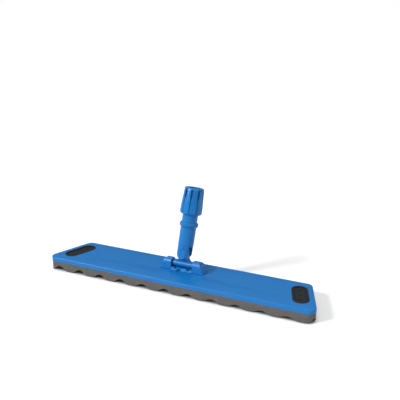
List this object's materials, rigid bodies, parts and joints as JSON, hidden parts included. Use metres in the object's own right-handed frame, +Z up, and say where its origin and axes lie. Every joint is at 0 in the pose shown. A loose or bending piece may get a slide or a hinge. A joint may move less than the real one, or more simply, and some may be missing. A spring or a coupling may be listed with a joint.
{
  "type": "trapezoid wiping head",
  "caption": "Long trapezoid wiping head with a moulded deck, ribbed foam sole, rubber cloth grips, a two-way tilting joint and a twist-lock pole socket.",
  "frame": {"origin": "the sole mount: on the ground, at the middle of the head's bounding box", "axes": "+X along the head, +Y from the long edge towards the short edge, +Z up"},
  "size_m": [0.6, 0.1196, 0.2046],
  "materials": {
    "blue_plastic": "satin moulded polypropylene",
    "blue_plastic_dark": "satin moulded polypropylene, finely ribbed",
    "black_rubber": "matt soft rubber",
    "grey_foam": "open-cell foam with a convoluted underside",
    "pale_board": "plain board",
    "natural_nylon": "unpigmented nylon",
    "zinc_steel": "zinc plated"
  },
  "bodies": {
    "head": {"deck_shell": "blue_plastic", "backing_board": "pale_board", "foam_pad": "grey_foam", "cloth_grip_left": "black_rubber", "cloth_grip_right": "black_rubber", "grip_clamp_left": "natural_nylon", "grip_clamp_right": "natural_nylon", "hinge_base": "blue_plastic", "base_screws": "zinc_steel", "barrel_pin": "zinc_steel", "barrel_washers": "black_rubber"},
    "cross": {"cross_block": "blue_plastic"},
    "socket": {"socket_body": "blue_plastic", "collet": "natural_nylon", "tilt_pin": "zinc_steel", "tilt_washers": "black_rubber", "pin_caps": "blue_plastic"},
    "slip_ring": {"thrust_ring": "natural_nylon"},
    "nut": {"lock_nut": "blue_plastic_dark"}
  },
  "joints": [
    {"name": "fore_aft_tilt", "type": "hinge", "parent": "head", "child": "cross", "pos_m": [0, 0.01, 0.0415], "axis": [1, 0, 0], "range_deg": [-57.5, 82.5]},
    {"name": "side_tilt", "type": "hinge", "parent": "cross", "child": "socket", "pos_m": [0, 0.01541, 0.06591], "axis": [0, 0.9763, -0.2164], "range_deg": [-84, 76]},
    {"name": "nut_travel", "type": "slide", "parent": "socket", "child": "slip_ring", "axis": [0.0698, 0.2159, 0.9739], "range_m": [0, 0.00505]},
    {"name": "nut_turn", "type": "hinge", "parent": "slip_ring", "child": "nut", "pos_m": [0, 0.01541, 0.06591], "axis": [0.0698, 0.2159, 0.9739], "range_deg": [0, 360]}
  ],
  "couplings": [
    {"joint": "nut_travel", "follows": "nut_turn", "m_per_rad": 0.00079577}
  ]
}
